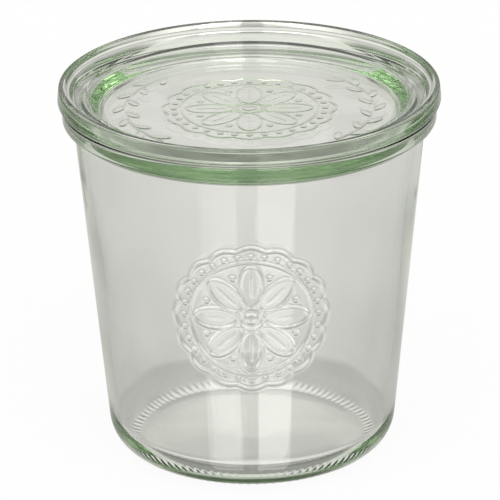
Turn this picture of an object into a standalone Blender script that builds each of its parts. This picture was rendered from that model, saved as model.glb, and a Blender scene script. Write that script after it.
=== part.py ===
"""Canning jar: a tapered pressed-glass tumbler jar with a loose glass lid.

Both pieces are turned about +Z. The origin is the centre of the base, on the plane the jar stands on.
The lid's flange rests on the jar's rim, its plug hangs in the mouth, and its recess takes the base
of another jar of the same size stacked on top.
"""

import math

import bmesh
import bpy
from mathutils import Vector

MM = 0.001

# Closure, which the jar and the lid share
MOUTH_RADIUS = 46.8 * MM
RIM_PROJECTION = 3.2 * MM
LID_OVERHANG = 1.45 * MM
SEAT_GAP = 0.3 * MM
PLUG_CLEARANCE = 0.8 * MM
STACK_CLEARANCE = 1.8 * MM

# Jar
JAR_HEIGHT = 103.4 * MM
WALL_THICKNESS = 2.8 * MM
BODY_TAPER = 9.5 * MM
RIM_BAND_HEIGHT = 4.2 * MM
RIM_UNDERCUT = 1.5 * MM
RIM_INNER_ROUND = 1.3 * MM
RIM_OUTER_ROUND = 1.2 * MM
RIM_LOWER_ROUND = 1.0 * MM
NECK_FILLET = 1.6 * MM
HEEL_ROUND = 10.3 * MM
FLOOR_FILLET = 8.0 * MM
BASE_THICKNESS = 2.6 * MM
BEARING_WIDTH = 4.4 * MM
PUNT_DEPTH = 0.8 * MM
PUNT_RAMP = 1.6 * MM
PUNT_ROUND = 0.7 * MM

# Lid, with its heights counted from the seat on the underside of the flange
FLANGE_HEIGHT = 5.2 * MM
FLANGE_DRAFT = 0.6 * MM
FLANGE_UPPER_ROUND = 0.75 * MM
FLANGE_LOWER_ROUND = 1.6 * MM
DISC_DROP = 2.4 * MM
DISC_THICKNESS = 3.9 * MM
RECESS_WALL_RISE = 4.1 * MM
RECESS_WALL_FLARE = 2.9 * MM
RECESS_FILLET = 2.6 * MM
RECESS_EDGE_ROUND = 0.7 * MM
BEVEL_RISE = 0.8 * MM
BEVEL_WIDTH = 1.2 * MM
BEVEL_ROUND = 2.2 * MM
SHOULDER_RISE = 1.1 * MM
SHOULDER_WIDTH = 3.4 * MM
SHOULDER_ROUND = 1.2 * MM
CREST_WIDTH = 1.8 * MM
CREST_ROUND = 1.5 * MM
PLUG_DRAFT = 0.25 * MM
PLUG_ROUND = 1.0 * MM
PLUG_ROOT_FILLET = 0.6 * MM

# Facets
STEPS_AROUND = 64
ARC_STEP = math.radians(16)
FILLET_EDGE_SHARE = 0.7
MERGE_DISTANCE = 0.002 * MM
SHARP_ANGLE = math.radians(30)

# Glass, a soda-lime mix whose iron tints it green where it is thick
GLASS_COLOR = (0.80, 0.88, 0.80, 1.0)
GLASS_ROUGHNESS = 0.03
GLASS_IOR = 1.52
GLASS_ALPHA = 0.35


def clear_scene():
    for old in list(bpy.data.objects):
        bpy.data.objects.remove(old, do_unlink=True)


def glass_material(name):
    material = bpy.data.materials.new(name)
    material.use_nodes = True
    shader = material.node_tree.nodes["Principled BSDF"]
    shader.inputs["Base Color"].default_value = GLASS_COLOR
    shader.inputs["Roughness"].default_value = GLASS_ROUGHNESS
    shader.inputs["Metallic"].default_value = 0.0
    shader.inputs["IOR"].default_value = GLASS_IOR
    shader.inputs["Transmission Weight"].default_value = 1.0
    material.diffuse_color = GLASS_COLOR[:3] + (GLASS_ALPHA,)
    return material


def corner_arc(before, corner, after, radius):
    """Points of the arc that rounds one corner of a section, limited by the two edges beside it."""
    inward = (before - corner).normalized()
    outward = (after - corner).normalized()
    turn = math.pi - inward.angle(outward)
    if radius == 0 or turn < ARC_STEP / 4:
        return [corner]
    shorter = min((before - corner).length, (after - corner).length)
    tangent = min(radius * math.tan(turn / 2), FILLET_EDGE_SHARE * shorter)
    radius = tangent / math.tan(turn / 2)
    centre = corner + (inward + outward).normalized() * math.hypot(radius, tangent)
    first = corner + inward * tangent - centre
    last = corner + outward * tangent - centre
    segments = max(2, math.ceil(turn / ARC_STEP))
    points = []
    for index in range(segments + 1):
        share = index / segments
        early = math.sin((1 - share) * turn) / math.sin(turn)
        late = math.sin(share * turn) / math.sin(turn)
        points.append(centre + first * early + last * late)
    return points


def rounded_section(corners):
    """Section points (radius, height) from corners (radius, height, rounding), axis to axis."""
    places = [Vector((radius, height)) for radius, height, _ in corners]
    points = [places[0]]
    for index in range(1, len(corners) - 1):
        rounding = corners[index][2]
        points += corner_arc(places[index - 1], places[index], places[index + 1], rounding)
    points.append(places[-1])
    return points


def turned(name, corners, location):
    """A solid of revolution about the object's own Z axis, standing at location."""
    section = rounded_section(corners)
    shape = bmesh.new()
    row = [shape.verts.new((point.x, 0, point.y)) for point in section]
    edges = [shape.edges.new(pair) for pair in zip(row, row[1:])]
    bmesh.ops.spin(
        shape,
        geom=row + edges,
        cent=(0, 0, 0),
        axis=(0, 0, 1),
        angle=math.tau,
        steps=STEPS_AROUND,
        use_merge=True,
    )
    bmesh.ops.remove_doubles(shape, verts=shape.verts, dist=MERGE_DISTANCE)
    bmesh.ops.recalc_face_normals(shape, faces=shape.faces)
    mesh = bpy.data.meshes.new(name)
    shape.to_mesh(mesh)
    shape.free()
    mesh.shade_smooth()
    mesh.set_sharp_from_angle(angle=SHARP_ANGLE)
    mesh.materials.append(glass_material(name + "_glass"))
    piece = bpy.data.objects.new(name, mesh)
    piece.location = location
    bpy.context.scene.collection.objects.link(piece)
    return piece


def jar_corners():
    """The jar's section: floor, inner wall, rolled rim, tapered outer wall, heel, bearing ring, punt."""
    body_top_radius = MOUTH_RADIUS + WALL_THICKNESS
    body_base_radius = body_top_radius - BODY_TAPER
    rim_radius = body_top_radius + RIM_PROJECTION
    rim_lower_height = JAR_HEIGHT - RIM_BAND_HEIGHT
    neck_height = rim_lower_height - RIM_UNDERCUT
    floor_height = PUNT_DEPTH + BASE_THICKNESS
    floor_radius = body_base_radius + BODY_TAPER * floor_height / neck_height - WALL_THICKNESS
    heel_turn = math.pi / 2 - math.atan2(BODY_TAPER, neck_height)
    bearing_outer_radius = body_base_radius - HEEL_ROUND * math.tan(heel_turn / 2)
    bearing_inner_radius = bearing_outer_radius - BEARING_WIDTH
    return [
        (0, floor_height, 0),
        (floor_radius, floor_height, FLOOR_FILLET),
        (MOUTH_RADIUS, neck_height, 0),
        (MOUTH_RADIUS, JAR_HEIGHT, RIM_INNER_ROUND),
        (rim_radius, JAR_HEIGHT, RIM_OUTER_ROUND),
        (rim_radius, rim_lower_height, RIM_LOWER_ROUND),
        (body_top_radius, neck_height, NECK_FILLET),
        (body_base_radius, 0, HEEL_ROUND),
        (bearing_inner_radius, 0, PUNT_ROUND),
        (bearing_inner_radius - PUNT_RAMP, PUNT_DEPTH, PUNT_ROUND),
        (0, PUNT_DEPTH, 0),
    ]


def lid_corners():
    """The lid's section: disc, flared recess wall, bevel, shoulder, crest, flange, seat, plug, underside."""
    body_top_radius = MOUTH_RADIUS + WALL_THICKNESS
    flange_radius = body_top_radius + RIM_PROJECTION + LID_OVERHANG
    recess_radius = body_top_radius - BODY_TAPER + STACK_CLEARANCE
    recess_edge_radius = recess_radius + RECESS_WALL_FLARE
    bevel_radius = recess_edge_radius + BEVEL_WIDTH
    shoulder_radius = bevel_radius + SHOULDER_WIDTH
    crest_outer_radius = flange_radius - FLANGE_DRAFT
    crest_inner_radius = crest_outer_radius - CREST_WIDTH
    disc_height = -DISC_DROP
    recess_edge_height = disc_height + RECESS_WALL_RISE
    bevel_height = recess_edge_height + BEVEL_RISE
    shoulder_height = bevel_height + SHOULDER_RISE
    underside_height = disc_height - DISC_THICKNESS
    plug_radius = MOUTH_RADIUS - PLUG_CLEARANCE
    return [
        (0, disc_height, 0),
        (recess_radius, disc_height, RECESS_FILLET),
        (recess_edge_radius, recess_edge_height, RECESS_EDGE_ROUND),
        (bevel_radius, bevel_height, BEVEL_ROUND),
        (shoulder_radius, shoulder_height, SHOULDER_ROUND),
        (crest_inner_radius, FLANGE_HEIGHT, CREST_ROUND),
        (crest_outer_radius, FLANGE_HEIGHT, FLANGE_UPPER_ROUND),
        (flange_radius, 0, FLANGE_LOWER_ROUND),
        (plug_radius, 0, PLUG_ROOT_FILLET),
        (plug_radius - PLUG_DRAFT, underside_height, PLUG_ROUND),
        (0, underside_height, 0),
    ]


clear_scene()
turned("jar", jar_corners(), (0, 0, 0))
turned("lid", lid_corners(), (0, 0, JAR_HEIGHT + SEAT_GAP))
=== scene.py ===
"""Canning jar: the glass of a tapered pressed jar and its loose recessed lid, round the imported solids."""

import math

import bpy
import numpy as np
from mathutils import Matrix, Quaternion, Vector


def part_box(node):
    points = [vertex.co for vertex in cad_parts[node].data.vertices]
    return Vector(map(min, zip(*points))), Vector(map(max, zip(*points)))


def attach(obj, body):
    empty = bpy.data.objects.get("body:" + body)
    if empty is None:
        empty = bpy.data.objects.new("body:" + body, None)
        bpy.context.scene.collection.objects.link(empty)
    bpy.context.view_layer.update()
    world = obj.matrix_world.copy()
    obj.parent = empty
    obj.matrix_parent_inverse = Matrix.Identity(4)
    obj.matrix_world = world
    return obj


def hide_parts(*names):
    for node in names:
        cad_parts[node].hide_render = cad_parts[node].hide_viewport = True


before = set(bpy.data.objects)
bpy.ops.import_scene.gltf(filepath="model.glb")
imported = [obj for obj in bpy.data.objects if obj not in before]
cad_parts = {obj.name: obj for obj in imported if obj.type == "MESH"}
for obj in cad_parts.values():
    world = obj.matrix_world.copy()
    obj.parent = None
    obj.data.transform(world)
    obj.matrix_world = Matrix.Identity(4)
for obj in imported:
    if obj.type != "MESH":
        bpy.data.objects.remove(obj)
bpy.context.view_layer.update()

# The jar.
# One piece of soda-lime glass, pressed and blown in a two-part mould: a tapered body with a rolled rim, a
# rounded heel with knurled bars round it, a shallow punt and a moulded medallion in front.

MM = 0.001

jar_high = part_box("jar")[1]
RIM_RADIUS = jar_high.x
JAR_HEIGHT = jar_high.z
RIM_PROJECTION = 3.2 * MM
RIM_BAND_HEIGHT = 4.2 * MM
RIM_UNDERCUT = 1.5 * MM
RIM_INNER_ROUND = 1.3 * MM
RIM_OUTER_ROUND = 1.2 * MM
RIM_LOWER_ROUND = 1.0 * MM
NECK_FILLET = 1.6 * MM
WALL_THICKNESS = 2.8 * MM
BODY_TAPER = 9.5 * MM
HEEL_ROUND = 10.3 * MM
FLOOR_FILLET = 8.0 * MM
BASE_THICKNESS = 3.4 * MM
BEARING_WIDTH = 4.4 * MM
PUNT_DEPTH = 0.5 * MM
PUNT_RAMP = 20.0 * MM
PUNT_ROUND = 10.0 * MM

BODY_TOP_RADIUS = RIM_RADIUS - RIM_PROJECTION
BODY_BASE_RADIUS = BODY_TOP_RADIUS - BODY_TAPER
MOUTH_RADIUS = BODY_TOP_RADIUS - WALL_THICKNESS
NECK_HEIGHT = JAR_HEIGHT - RIM_BAND_HEIGHT - RIM_UNDERCUT
HEEL_TURN = math.pi / 2 - math.atan2(BODY_TAPER, NECK_HEIGHT)
BEARING_OUTER_RADIUS = BODY_BASE_RADIUS - HEEL_ROUND * math.tan(HEEL_TURN / 2)
BEARING_INNER_RADIUS = BEARING_OUTER_RADIUS - BEARING_WIDTH

ARC_STEP = math.radians(7)
WIDE_ROWS = 1.6 * MM
RELIEF_ROWS = 0.35 * MM

MEDALLION_HEIGHT = 56.0 * MM
MEDALLION_RADIUS = 22.5 * MM
MEDALLION_RELIEF = 0.38 * MM
MEDALLION_LINE = 0.47 * MM
SEAM_HALF_WIDTH = 0.25 * MM
SEAM_RELIEF = 0.12 * MM
KNURL_COUNT = 96
KNURL_DEPTH = 0.14 * MM
KNURL_INNER_RADIUS = 33.1 * MM
KNURL_OUTER_RADIUS = 36.0 * MM
KNURL_END_EDGE = 0.12 * MM
KNURL_BAR_LEVEL = 0.1
KNURL_BAR_EDGE = 0.12
WALL_RIPPLE = 0.045 * MM

# Waves of the inner wall's ripple: share, turns round the axis, radians to a metre of height, and phase
WALL_WAVES = ((1.0, 3, 41, 0.4), (1.0, 5, -73, 1.9), (0.6, 11, 97, 0.7), (0.5, 2, 190, 2.6))

# The moulded rosette, in shares of its radius, or of its relief where the name says height
PETAL_COUNT = 8
BEAD_COUNT = 32
BORDER_REACH = 0.93
SCALLOP_DEPTH = 0.05
INNER_RING_REACH = 0.78
INNER_RING_HEIGHT = 0.8
BEAD_REACH = 0.855
BEAD_RADIUS = 0.038
PETAL_REACH = 0.44
PETAL_HALF_LENGTH = 0.27
PETAL_HALF_WIDTH = 0.135
PETAL_HEIGHT = 0.45
PETAL_EDGE = 0.008
VEIN_HALF_WIDTH = 0.010
VEIN_END = 0.62
VEIN_FADE = 0.08
VEIN_HEIGHT = 0.9
SEED_REACH = 0.60
SEED_RADIUS = 0.042
HUB_RING_REACH = 0.145
HUB_RING_HEIGHT = 0.9
HUB_RADIUS = 0.085
RING_LINE_SHARE = 0.8
SMALLEST_DIVISOR = 0.001

COLUMNS_AROUND = 256
COLUMNS_TO_A_BAR = 8
FINE_HALF_TURN = math.radians(31)
FINE_COLUMN_STEP = math.radians(0.42)
WALL_COLUMN_STEP = math.radians(1.3)


def corner_arc(before, corner, after, radius):
    """Points of the arc that rounds one corner of a section."""
    inward = (before - corner).normalized()
    outward = (after - corner).normalized()
    turn = math.pi - inward.angle(outward)
    if radius == 0 or turn < ARC_STEP / 4:
        return [corner]
    tangent = radius * math.tan(turn / 2)
    centre = corner + (inward + outward).normalized() * math.hypot(radius, tangent)
    first = corner + inward * tangent - centre
    last = corner + outward * tangent - centre
    segments = max(2, math.ceil(turn / ARC_STEP))
    points = []
    for index in range(segments + 1):
        share = index / segments
        early = math.sin((1 - share) * turn) / math.sin(turn)
        late = math.sin(share * turn) / math.sin(turn)
        points.append(centre + first * early + last * late)
    return points


def section_rows(corners):
    """Rows (radius, height, face) along a turned section.

    A corner is (radius, height, rounding, face, spacing), where the face and the spacing are those of
    the straight run that follows it.
    """
    places = [Vector(corner[:2]) for corner in corners]
    arcs = [[places[0]]]
    for index in range(1, len(corners) - 1):
        arcs.append(corner_arc(places[index - 1], places[index], places[index + 1], corners[index][2]))
    arcs.append([places[-1]])
    rows = []
    for index, arc in enumerate(arcs):
        face, spacing = corners[index][3:]
        arc_face = "heel" if face == "heel" else "plain"
        rows += [(point.x, point.y, arc_face) for point in arc[:-1]]
        rows.append((arc[-1].x, arc[-1].y, face))
        if index + 1 < len(arcs):
            start, end = arc[-1], arcs[index + 1][0]
            steps = max(1, math.ceil((end - start).length / spacing))
            for step in range(1, steps):
                between = start.lerp(end, step / steps)
                rows.append((between.x, between.y, face))
    return rows


def joined_rows(upper, upper_first, lower, lower_first):
    """Faces between two rows of columns, wound so that they face out of the turned section."""
    count_up, count_down = len(upper), len(lower)
    if count_up == 1:
        near = lower_first + np.arange(count_down)
        return [(upper_first, int(a), int(b)) for a, b in zip(near, np.roll(near, -1))]
    if count_down == 1:
        near = upper_first + np.arange(count_up)
        return [(int(a), lower_first, int(b)) for a, b in zip(near, np.roll(near, -1))]
    if upper is lower:
        above = upper_first + np.arange(count_up)
        below = lower_first + np.arange(count_up)
        return np.stack([above, below, np.roll(below, -1), np.roll(above, -1)], axis=1).tolist()
    faces = []
    i = j = 0
    while i < count_up or j < count_down:
        next_up = upper[i + 1] if i + 1 < count_up else upper[0] + math.tau
        next_down = lower[j + 1] if j + 1 < count_down else lower[0] + math.tau
        here_up = upper_first + i % count_up
        here_down = lower_first + j % count_down
        if j < count_down and (i >= count_up or next_down <= next_up):
            faces.append((here_up, here_down, lower_first + (j + 1) % count_down))
            j += 1
        else:
            faces.append((here_up, here_down, upper_first + (i + 1) % count_up))
            i += 1
    return faces


def turned_mesh(name, rows, columns, relief):
    """A closed mesh turned about +Z from section rows, with each face's own columns and moulded relief."""
    angles, radii, heights, faces_of = [], [], [], []
    starts, row_columns = [], []
    total = 0
    for radius, height, face in rows:
        around = columns.get(face, columns["plain"]) if radius > 0 else np.zeros(1)
        starts.append(total)
        row_columns.append(around)
        angles.append(around)
        radii.append(np.full(len(around), radius))
        heights.append(np.full(len(around), height))
        faces_of.append(np.full(len(around), face))
        total += len(around)
    angle, radius, height = map(np.concatenate, (angles, radii, heights))
    radius_shift, height_shift = relief(angle, radius, height, np.concatenate(faces_of))
    radius = radius + radius_shift
    height = height + height_shift
    places = np.stack([radius * np.sin(angle), -radius * np.cos(angle), height], axis=1)
    faces = []
    for index in range(len(rows) - 1):
        upper, lower = row_columns[index], row_columns[index + 1]
        faces += joined_rows(upper, starts[index], lower, starts[index + 1])
    mesh = bpy.data.meshes.new(name)
    mesh.from_pydata(places.tolist(), [], faces)
    mesh.shade_smooth()
    return mesh


def even_columns(count):
    """Angles all round the axis, counted from the back."""
    return -math.pi + math.tau * np.arange(count) / count


def front_columns(close_half, close_step, wide_step):
    """Angles all round the axis, counted from the back and closer together near the front."""
    wide_count = round((math.pi - close_half) / wide_step)
    close_count = round(2 * close_half / close_step)
    left = np.linspace(-math.pi, -close_half, wide_count, endpoint=False)
    front = np.linspace(-close_half, close_half, close_count, endpoint=False)
    right = np.linspace(close_half, math.pi, wide_count, endpoint=False)
    return np.concatenate([left, front, right])


def ridge(distance, half_width):
    """1 on a line, falling off smoothly on both sides of it."""
    return np.exp(-((distance / half_width) ** 2))


def dome(distance, radius):
    """1 in the middle of a round bead, 0 from its radius outward."""
    return np.sqrt(np.clip(1 - (distance / radius) ** 2, 0, None))


def plateau(inside_distance, edge):
    """1 well inside an outline, 0 outside it, with a rounded edge."""
    return 0.5 + 0.5 * np.tanh(0.5 * inside_distance / edge)


def centred(angle):
    """The same angle, between minus and plus half a turn."""
    return (angle + math.pi) % math.tau - math.pi


def folded_angle(angle, count):
    """The angle from the middle of the nearest of count equal sectors."""
    sector = math.tau / count
    return (angle + sector / 2) % sector - sector / 2


def rosette(across, up, radius, line_width):
    """Height share of a round moulded rosette: a scalloped border, a string of beads and eight petals."""
    reach = np.hypot(across, up) / radius
    bearing = np.arctan2(up, across)
    line = line_width / radius
    thin_line = RING_LINE_SHARE * line
    scallops = BORDER_REACH + SCALLOP_DEPTH * np.abs(np.cos(PETAL_COUNT * bearing))
    height = ridge(reach - scallops, line)
    height = np.maximum(height, INNER_RING_HEIGHT * ridge(reach - INNER_RING_REACH, thin_line))
    bead_angle = folded_angle(bearing, BEAD_COUNT)
    bead_distance = np.hypot(reach * np.cos(bead_angle) - BEAD_REACH, reach * np.sin(bead_angle))
    height = np.maximum(height, dome(bead_distance, BEAD_RADIUS))
    petal_angle = folded_angle(bearing, PETAL_COUNT)
    along = reach * np.cos(petal_angle) - PETAL_REACH
    beside = reach * np.sin(petal_angle)
    level = np.hypot(along / PETAL_HALF_LENGTH, beside / PETAL_HALF_WIDTH)
    slope = np.hypot(along / PETAL_HALF_LENGTH**2, beside / PETAL_HALF_WIDTH**2)
    slope = slope / np.maximum(level, SMALLEST_DIVISOR)
    edge_distance = (level - 1) / np.maximum(slope, SMALLEST_DIVISOR)
    height = np.maximum(height, ridge(edge_distance, line))
    height = np.maximum(height, PETAL_HEIGHT * plateau(-edge_distance, PETAL_EDGE))
    vein = ridge(beside, VEIN_HALF_WIDTH) * plateau(VEIN_END - level, VEIN_FADE)
    height = np.maximum(height, VEIN_HEIGHT * vein)
    seed_angle = folded_angle(bearing + math.pi / PETAL_COUNT, PETAL_COUNT)
    seed_distance = np.hypot(reach * np.cos(seed_angle) - SEED_REACH, reach * np.sin(seed_angle))
    height = np.maximum(height, dome(seed_distance, SEED_RADIUS))
    height = np.maximum(height, HUB_RING_HEIGHT * ridge(reach - HUB_RING_REACH, thin_line))
    return np.maximum(height, dome(reach, HUB_RADIUS))


def jar_relief(angle, radius, height, face):
    """Radial and vertical shifts of the jar's surface: medallion, seams, knurling and slow ripple."""
    turn = centred(angle)
    up = height - MEDALLION_HEIGHT
    moulded = rosette(turn * radius, up, MEDALLION_RADIUS, MEDALLION_LINE) * MEDALLION_RELIEF
    seam_turn = np.abs(np.abs(turn) - math.pi / 2)
    moulded = moulded + SEAM_RELIEF * ridge(seam_turn * radius, SEAM_HALF_WIDTH)
    outer = np.where(face == "wall", moulded, 0)
    ripple = sum(
        share * np.sin(turns * turn + climb * height + phase) for share, turns, climb, phase in WALL_WAVES
    )
    inner = np.where(face == "inside", WALL_RIPPLE * ripple, 0)
    bars = plateau(np.cos(KNURL_COUNT * turn) - KNURL_BAR_LEVEL, KNURL_BAR_EDGE)
    from_end = np.minimum(radius - KNURL_INNER_RADIUS, KNURL_OUTER_RADIUS - radius)
    lift = np.where(face == "heel", KNURL_DEPTH * bars * plateau(from_end, KNURL_END_EDGE), 0)
    return outer + inner, lift


floor_height = PUNT_DEPTH + BASE_THICKNESS
floor_radius = BODY_BASE_RADIUS + BODY_TAPER * floor_height / NECK_HEIGHT - WALL_THICKNESS
jar_rows = section_rows([
    (0, floor_height, 0, "plain", WIDE_ROWS),
    (floor_radius, floor_height, FLOOR_FILLET, "inside", WIDE_ROWS),
    (MOUTH_RADIUS, NECK_HEIGHT, 0, "plain", WIDE_ROWS),
    (MOUTH_RADIUS, JAR_HEIGHT, RIM_INNER_ROUND, "plain", WIDE_ROWS),
    (RIM_RADIUS, JAR_HEIGHT, RIM_OUTER_ROUND, "plain", WIDE_ROWS),
    (RIM_RADIUS, JAR_HEIGHT - RIM_BAND_HEIGHT, RIM_LOWER_ROUND, "plain", WIDE_ROWS),
    (BODY_TOP_RADIUS, NECK_HEIGHT, NECK_FILLET, "wall", RELIEF_ROWS),
    (BODY_BASE_RADIUS, 0, HEEL_ROUND, "heel", WIDE_ROWS),
    (BEARING_INNER_RADIUS, 0, PUNT_ROUND, "plain", WIDE_ROWS),
    (BEARING_INNER_RADIUS - PUNT_RAMP, PUNT_DEPTH, PUNT_ROUND, "plain", WIDE_ROWS),
    (0, PUNT_DEPTH, 0, "plain", WIDE_ROWS),
])
jar_columns = {
    "plain": even_columns(COLUMNS_AROUND),
    "wall": front_columns(FINE_HALF_TURN, FINE_COLUMN_STEP, WALL_COLUMN_STEP),
    "heel": even_columns(KNURL_COUNT * COLUMNS_TO_A_BAR),
}
jar_mesh = turned_mesh("jar_glass_body", jar_rows, jar_columns, jar_relief)
jar_glass_body = bpy.data.objects.new("jar_glass_body", jar_mesh)
bpy.context.scene.collection.objects.link(jar_glass_body)


def fire_polish_group():
    """Height and roughness of pressed glass: slow waves from the mould and a fine polished grain."""
    group = bpy.data.node_groups.new("fire_polish", "ShaderNodeTree")
    usual_values = {"Wave Scale": 90.0, "Grain Scale": 900.0, "Grain Share": 0.03, "Haze": 0.01}
    for name, usual in usual_values.items():
        socket = group.interface.new_socket(name, in_out="INPUT", socket_type="NodeSocketFloat")
        socket.default_value = usual
    group.interface.new_socket("Height", in_out="OUTPUT", socket_type="NodeSocketFloat")
    group.interface.new_socket("Roughness", in_out="OUTPUT", socket_type="NodeSocketFloat")
    nodes, links = group.nodes, group.links
    given = nodes.new("NodeGroupInput")
    put_out = nodes.new("NodeGroupOutput")
    place = nodes.new("ShaderNodeTexCoord")
    waves = nodes.new("ShaderNodeTexNoise")
    waves.inputs["Detail"].default_value = 1.0
    grain = nodes.new("ShaderNodeTexNoise")
    grain.inputs["Detail"].default_value = 2.0
    links.new(place.outputs["Object"], waves.inputs["Vector"])
    links.new(place.outputs["Object"], grain.inputs["Vector"])
    links.new(given.outputs["Wave Scale"], waves.inputs["Scale"])
    links.new(given.outputs["Grain Scale"], grain.inputs["Scale"])
    grain_part = nodes.new("ShaderNodeMath")
    grain_part.operation = "MULTIPLY_ADD"
    links.new(grain.outputs["Fac"], grain_part.inputs[0])
    links.new(given.outputs["Grain Share"], grain_part.inputs[1])
    links.new(waves.outputs["Fac"], grain_part.inputs[2])
    links.new(grain_part.outputs["Value"], put_out.inputs["Height"])
    haze = nodes.new("ShaderNodeMath")
    haze.operation = "MULTIPLY"
    links.new(waves.outputs["Fac"], haze.inputs[0])
    links.new(given.outputs["Haze"], haze.inputs[1])
    links.new(haze.outputs["Value"], put_out.inputs["Roughness"])
    return group


fire_polish = fire_polish_group()

GLASS_IOR = 1.52
ABSORPTION_DENSITY = 22.0
ABSORPTION_COLOR = (0.295, 0.568, 0.182, 1.0)
JAR_WAVE_SCALE = 90.0
JAR_WAVE_DEPTH = 0.025 * MM
JAR_HAZE = 0.012


def glass_material(name, wave_scale, wave_depth, haze):
    """Clear soda-lime glass, tinted green where it is thick, with the fire polish of its own piece."""
    material = bpy.data.materials.new(name)
    material.use_nodes = True
    nodes, links = material.node_tree.nodes, material.node_tree.links
    shader = nodes["Principled BSDF"]
    shader.inputs["Base Color"].default_value = (1.0, 1.0, 1.0, 1.0)
    shader.inputs["Metallic"].default_value = 0.0
    shader.inputs["Transmission Weight"].default_value = 1.0
    shader.inputs["IOR"].default_value = GLASS_IOR
    polish = nodes.new("ShaderNodeGroup")
    polish.node_tree = fire_polish
    polish.inputs["Wave Scale"].default_value = wave_scale
    polish.inputs["Haze"].default_value = haze
    bump = nodes.new("ShaderNodeBump")
    bump.inputs["Strength"].default_value = 1.0
    bump.inputs["Distance"].default_value = wave_depth
    links.new(polish.outputs["Height"], bump.inputs["Height"])
    links.new(bump.outputs["Normal"], shader.inputs["Normal"])
    links.new(polish.outputs["Roughness"], shader.inputs["Roughness"])
    absorb = nodes.new("ShaderNodeVolumeAbsorption")
    absorb.inputs["Color"].default_value = ABSORPTION_COLOR
    absorb.inputs["Density"].default_value = ABSORPTION_DENSITY
    links.new(absorb.outputs["Volume"], nodes["Material Output"].inputs["Volume"])
    return material


jar_glass = glass_material("jar_glass", JAR_WAVE_SCALE, JAR_WAVE_DEPTH, JAR_HAZE)
jar_glass_body.data.materials.append(jar_glass)
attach(jar_glass_body, "jar")
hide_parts("jar")

# The lid.
# One pressed disc of the same glass: a rounded flange that rests on the jar's rim, a raised ring round a
# recess that takes the foot of a stacked jar, and a plug below that centres the lid in the mouth.

LID_OVERHANG = 1.45 * MM
SEAT_GAP = 0.3 * MM
PLUG_CLEARANCE = 0.8 * MM
STACK_CLEARANCE = 1.8 * MM
FLANGE_HEIGHT = 5.2 * MM
FLANGE_DRAFT = 0.6 * MM
FLANGE_UPPER_ROUND = 0.75 * MM
FLANGE_LOWER_ROUND = 1.6 * MM
DISC_DROP = 2.4 * MM
DISC_THICKNESS = 3.9 * MM
RECESS_WALL_RISE = 4.1 * MM
RECESS_WALL_FLARE = 2.9 * MM
RECESS_FILLET = 2.6 * MM
RECESS_EDGE_ROUND = 0.7 * MM
BEVEL_RISE = 0.8 * MM
BEVEL_WIDTH = 1.2 * MM
BEVEL_ROUND = 2.2 * MM
SHOULDER_RISE = 1.1 * MM
SHOULDER_WIDTH = 3.4 * MM
SHOULDER_ROUND = 1.2 * MM
CREST_WIDTH = 1.8 * MM
CREST_ROUND = 1.5 * MM
PLUG_DRAFT = 0.25 * MM
PLUG_ROUND = 1.0 * MM
PLUG_ROOT_FILLET = 0.6 * MM

LID_RELIEF_ROWS = 0.22 * MM
LID_MEDALLION_RADIUS = 25.0 * MM
LID_RELIEF = 0.11 * MM
LID_LINE = 0.26 * MM
GARLAND_RADIUS = 35.0 * MM
GARLAND_RELIEF = 0.11 * MM
STEM_HALF_WIDTH = 0.28 * MM
STEM_HEIGHT = 0.7
LEAF_PITCH = math.radians(8.5)
LEAVES_EACH_SIDE = 11
LEAF_OFFSET = 1.75 * MM
LEAF_LENGTH = 2.7 * MM
LEAF_WIDTH = 1.05 * MM
LEAF_TILT = math.radians(34)
LEAF_EDGE = 0.07
LID_RELIEF_COLUMNS = 768
UNDERSIDE_RIPPLE = 0.05 * MM

# Waves of the underside's ripple: radians to a metre across and towards the front, and phase
UNDERSIDE_WAVES = ((150, 60, 0.3), (-90, 130, 1.1))
RING_WAVE_SHARE = 0.6
RING_WAVE = 310
RING_WAVE_PHASE = 2.0

LID_WAVE_SCALE = 110.0
LID_WAVE_DEPTH = 0.012 * MM
LID_HAZE = 0.010

seat_height = JAR_HEIGHT + SEAT_GAP
crest_height = seat_height + FLANGE_HEIGHT
flange_radius = RIM_RADIUS + LID_OVERHANG
recess_radius = BODY_BASE_RADIUS + STACK_CLEARANCE
recess_edge_radius = recess_radius + RECESS_WALL_FLARE
bevel_radius = recess_edge_radius + BEVEL_WIDTH
shoulder_radius = bevel_radius + SHOULDER_WIDTH
crest_outer_radius = flange_radius - FLANGE_DRAFT
crest_inner_radius = crest_outer_radius - CREST_WIDTH
disc_height = seat_height - DISC_DROP
recess_edge_height = disc_height + RECESS_WALL_RISE
bevel_height = recess_edge_height + BEVEL_RISE
shoulder_height = bevel_height + SHOULDER_RISE
underside_height = disc_height - DISC_THICKNESS
plug_radius = MOUTH_RADIUS - PLUG_CLEARANCE


def garland(turn, radius):
    """Height share of two sprigs of leaves, one along each side of the disc."""
    height = np.zeros_like(turn)
    half_extent = LEAF_PITCH * LEAVES_EACH_SIDE / 2
    for middle in (-math.pi / 2, math.pi / 2):
        from_middle = centred(turn - middle)
        stem = ridge(radius - GARLAND_RADIUS, STEM_HALF_WIDTH) * (np.abs(from_middle) < half_extent)
        height = np.maximum(height, STEM_HEIGHT * stem)
        for leaf in range(LEAVES_EACH_SIDE):
            at = (leaf - (LEAVES_EACH_SIDE - 1) / 2) * LEAF_PITCH
            side = 1 if leaf % 2 else -1
            along = (from_middle - at) * GARLAND_RADIUS
            out = radius - GARLAND_RADIUS - side * LEAF_OFFSET
            tilt = side * LEAF_TILT
            length = along * math.cos(tilt) + out * math.sin(tilt)
            width = out * math.cos(tilt) - along * math.sin(tilt)
            level = np.hypot(length / LEAF_LENGTH, width / LEAF_WIDTH)
            height = np.maximum(height, plateau(1 - level, LEAF_EDGE))
    return height


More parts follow.
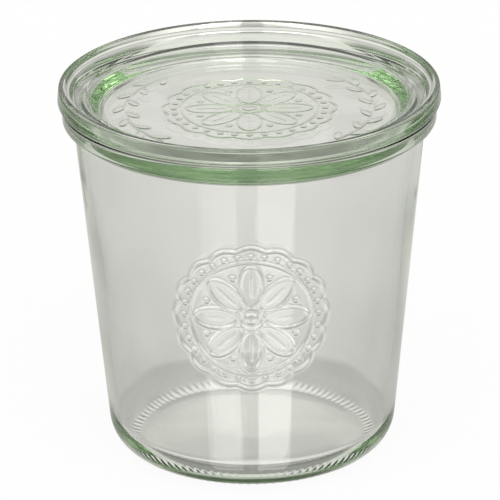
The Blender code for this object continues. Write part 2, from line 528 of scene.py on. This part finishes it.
def lid_relief(angle, radius, height, face):
    """Radial and vertical shifts of the lid's surface: rosette and sprigs above, a slow ripple below."""
    turn = centred(angle)
    across = radius * np.sin(turn)
    up = radius * np.cos(turn)
    moulded = rosette(across, up, LID_MEDALLION_RADIUS, LID_LINE) * LID_RELIEF
    moulded = np.maximum(moulded, garland(turn, radius) * GARLAND_RELIEF)
    ripple = sum(np.sin(wide * across + deep * up + phase) for wide, deep, phase in UNDERSIDE_WAVES)
    ripple = ripple + RING_WAVE_SHARE * np.sin(RING_WAVE * radius + RING_WAVE_PHASE)
    above = np.where(face == "disc", moulded, 0)
    below = np.where(face == "underside", UNDERSIDE_RIPPLE * ripple, 0)
    return np.zeros_like(radius), above + below


lid_rows = section_rows([
    (0, disc_height, 0, "disc", LID_RELIEF_ROWS),
    (recess_radius, disc_height, RECESS_FILLET, "plain", WIDE_ROWS),
    (recess_edge_radius, recess_edge_height, RECESS_EDGE_ROUND, "plain", WIDE_ROWS),
    (bevel_radius, bevel_height, BEVEL_ROUND, "plain", WIDE_ROWS),
    (shoulder_radius, shoulder_height, SHOULDER_ROUND, "plain", WIDE_ROWS),
    (crest_inner_radius, crest_height, CREST_ROUND, "plain", WIDE_ROWS),
    (crest_outer_radius, crest_height, FLANGE_UPPER_ROUND, "plain", WIDE_ROWS),
    (flange_radius, seat_height, FLANGE_LOWER_ROUND, "plain", WIDE_ROWS),
    (plug_radius, seat_height, PLUG_ROOT_FILLET, "plain", WIDE_ROWS),
    (plug_radius - PLUG_DRAFT, underside_height, PLUG_ROUND, "underside", WIDE_ROWS),
    (0, underside_height, 0, "plain", WIDE_ROWS),
])
lid_columns = {
    "plain": even_columns(COLUMNS_AROUND),
    "disc": even_columns(LID_RELIEF_COLUMNS),
}
lid_mesh = turned_mesh("lid_glass_body", lid_rows, lid_columns, lid_relief)
lid_glass_body = bpy.data.objects.new("lid_glass_body", lid_mesh)
bpy.context.scene.collection.objects.link(lid_glass_body)
lid_glass = glass_material("lid_glass", LID_WAVE_SCALE, LID_WAVE_DEPTH, LID_HAZE)
lid_glass_body.data.materials.append(lid_glass)
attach(lid_glass_body, "lid")
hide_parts("lid")

# The table.
# A plain white board under the jar. It takes the jar's shadow and glows for the camera alone, so that it
# reads as white, and the glass shows the studio in its place.

TABLE_HALF_SIDE = 3.0
TABLE_DROP = 0.2 * MM
TABLE_COLOR = (0.85, 0.85, 0.85, 1.0)
TABLE_GLOW_SHARE = 0.93

table_mesh = bpy.data.meshes.new("table_top")
table_corners = [
    (x * TABLE_HALF_SIDE, y * TABLE_HALF_SIDE, -TABLE_DROP) for x, y in [(-1, -1), (1, -1), (1, 1), (-1, 1)]
]
table_mesh.from_pydata(table_corners, [], [(0, 1, 2, 3)])
table_top = bpy.data.objects.new("table_top", table_mesh)
bpy.context.scene.collection.objects.link(table_top)
table_top.visible_glossy = False
table_top.visible_transmission = False

table_white = bpy.data.materials.new("table_white")
table_white.use_nodes = True
nodes, links = table_white.node_tree.nodes, table_white.node_tree.links
nodes.remove(nodes["Principled BSDF"])
paint = nodes.new("ShaderNodeBsdfDiffuse")
paint.inputs["Color"].default_value = TABLE_COLOR
glow = nodes.new("ShaderNodeEmission")
glow.inputs["Color"].default_value = (1.0, 1.0, 1.0, 1.0)
glow.inputs["Strength"].default_value = 1.0
light_path = nodes.new("ShaderNodeLightPath")
glow_share = nodes.new("ShaderNodeMath")
glow_share.operation = "MULTIPLY"
glow_share.inputs[1].default_value = TABLE_GLOW_SHARE
mixed = nodes.new("ShaderNodeMixShader")
links.new(light_path.outputs["Is Camera Ray"], glow_share.inputs[0])
links.new(glow_share.outputs["Value"], mixed.inputs["Fac"])
links.new(paint.outputs["BSDF"], mixed.inputs[1])
links.new(glow.outputs["Emission"], mixed.inputs[2])
links.new(mixed.outputs["Shader"], nodes["Material Output"].inputs["Surface"])
table_mesh.materials.append(table_white)

# The studio.
# A backdrop behind the jar, the sides and the front of the room, each lit by its own amount at each height,
# and two upright soft boxes in front, which show in the glass as a pair of upright bands.

# Levels by elevation: the one straight down, then each change on the way up, as the two elevations, in
# degrees, between which it comes in, and its amount
BACKDROP = (
    0.36,
    (-54, -46, 0.5),
    (-34, -29, -0.38),
    (-27, -20, 0.26),
    (-18, -10, -0.36),
    (19, 21.5, 0.58),
    (24.5, 27, -0.28),
    (31, 36, -0.58),
    (42, 48, 0.75),
    (62, 74, -0.7),
)
SIDES = (0.22, (-38, -29, 0.26), (-12, -2, -0.12), (8, 24, 0.36), (50, 65, 0.3))
FRONT = (0.2, (-50, -20, 0.65), (-5, 25, 0.45))
BOX_HEIGHT = (0.0, (-56, -50, 2.6), (-35.5, -30, -1.7), (8, 18, 1.8))
STUDIO_LEVEL = 1.05
STUDIO_COLOR = (1.0, 0.97, 0.95, 1.0)

# Bearings off the front, in degrees, between which the front gives way to a side and a side to the backdrop
FRONT_TO_SIDE = (38, 80)
SIDE_TO_BACKDROP = (118, 150)

# Each soft box: its left and right edge, in degrees off the front, and its share of the full level
LEFT_BOX = (-37, -9, 0.85)
RIGHT_BOX = (5, 32, 1.15)
BOX_EDGE = 1.5

world = bpy.data.worlds.new("studio")
bpy.context.scene.world = world
world.use_nodes = True
nodes, links = world.node_tree.nodes, world.node_tree.links


def world_math(operation, *values):
    """The result of a math node, from values that are numbers or the results of other nodes."""
    node = nodes.new("ShaderNodeMath")
    node.operation = operation
    for socket, value in zip(node.inputs, values):
        if isinstance(value, (int, float)):
            socket.default_value = value
        else:
            links.new(value, socket)
    return node.outputs["Value"]


def world_step(angle, low, high, level_low, level_high):
    """A smooth step from one level to another as an angle passes from low to high, in degrees."""
    node = nodes.new("ShaderNodeMapRange")
    node.interpolation_type = "SMOOTHSTEP"
    links.new(angle, node.inputs["Value"])
    node.inputs["From Min"].default_value = math.radians(low)
    node.inputs["From Max"].default_value = math.radians(high)
    node.inputs["To Min"].default_value = level_low
    node.inputs["To Max"].default_value = level_high
    return node.outputs["Result"]


direction = nodes.new("ShaderNodeTexCoord").outputs["Generated"]
split = nodes.new("ShaderNodeSeparateXYZ")
links.new(direction, split.inputs["Vector"])
toward_front = world_math("MULTIPLY", split.outputs["Y"], -1.0)
off_front = world_math("ARCTAN2", split.outputs["X"], toward_front)
either_side = world_math("ABSOLUTE", off_front)
elevation = world_math("ARCSINE", split.outputs["Z"])


def world_levels(levels):
    """The level of one side of the studio by elevation."""
    level = levels[0]
    for low, high, change in levels[1:]:
        level = world_math("ADD", level, world_step(elevation, low, high, 0.0, change))
    return level


front_share = world_step(either_side, *FRONT_TO_SIDE, 1.0, 0.0)
back_share = world_step(either_side, *SIDE_TO_BACKDROP, 0.0, 1.0)
side_share = world_math("SUBTRACT", world_math("SUBTRACT", 1.0, front_share), back_share)
level = world_math("MULTIPLY", world_levels(SIDES), side_share)
level = world_math("MULTIPLY_ADD", world_levels(FRONT), front_share, level)
level = world_math("MULTIPLY_ADD", world_levels(BACKDROP), back_share, level)
for left, right, box_share in (LEFT_BOX, RIGHT_BOX):
    rising = world_step(off_front, left - BOX_EDGE, left + BOX_EDGE, 0.0, 1.0)
    falling = world_step(off_front, right - BOX_EDGE, right + BOX_EDGE, 1.0, 0.0)
    box = world_math("MULTIPLY", world_math("MULTIPLY", rising, falling), box_share)
    box = world_math("MULTIPLY", world_levels(BOX_HEIGHT), box)
    level = world_math("MAXIMUM", level, box)
level = world_math("MULTIPLY", level, STUDIO_LEVEL)
light_path = nodes.new("ShaderNodeLightPath")
white_to_camera = nodes.new("ShaderNodeMix")
white_to_camera.data_type = "FLOAT"
links.new(light_path.outputs["Is Camera Ray"], white_to_camera.inputs["Factor"])
links.new(level, white_to_camera.inputs["A"])
white_to_camera.inputs["B"].default_value = 1.0
nodes["Background"].inputs["Color"].default_value = STUDIO_COLOR
links.new(white_to_camera.outputs["Result"], nodes["Background"].inputs["Strength"])

# The camera.
# It stands 1.5 m in front of the jar and looks down at it, through a long lens, from about 22 degrees above
# the table. The render follows light through many faces, because each ray meets a dozen walls of glass.

PHOTO_SIDE = 500
FOCAL_PIXELS = 5257.0
SENSOR_SIDE = 36.0
CAMERA_DISTANCE = 1.5
CAMERA_ELEVATION = math.radians(22.2)
CAMERA_ROLL = math.radians(-0.55)
ORBIT_CENTRE = Vector((0, 0, 52.0 * MM))
AIM_POINT = Vector((-0.2 * MM, 0, 58.25 * MM))
NEAREST_SEEN = 0.05
GLASS_BOUNCES = 40
MIRROR_BOUNCES = 24

camera_data = bpy.data.cameras.new("camera")
camera_data.sensor_width = SENSOR_SIDE
camera_data.lens = FOCAL_PIXELS / PHOTO_SIDE * SENSOR_SIDE
camera_data.clip_start = NEAREST_SEEN
camera = bpy.data.objects.new("camera", camera_data)
bpy.context.scene.collection.objects.link(camera)
camera.location = ORBIT_CENTRE + CAMERA_DISTANCE * Vector(
    (0, -math.cos(CAMERA_ELEVATION), math.sin(CAMERA_ELEVATION))
)
looking = (AIM_POINT - camera.location).to_track_quat("-Z", "Y")
camera.rotation_mode = "QUATERNION"
camera.rotation_quaternion = looking @ Quaternion((0, 0, 1), CAMERA_ROLL)
bpy.context.scene.camera = camera

bpy.context.scene.view_settings.view_transform = "Standard"
bpy.context.scene.cycles.max_bounces = GLASS_BOUNCES
bpy.context.scene.cycles.transmission_bounces = GLASS_BOUNCES
bpy.context.scene.cycles.glossy_bounces = MIRROR_BOUNCES
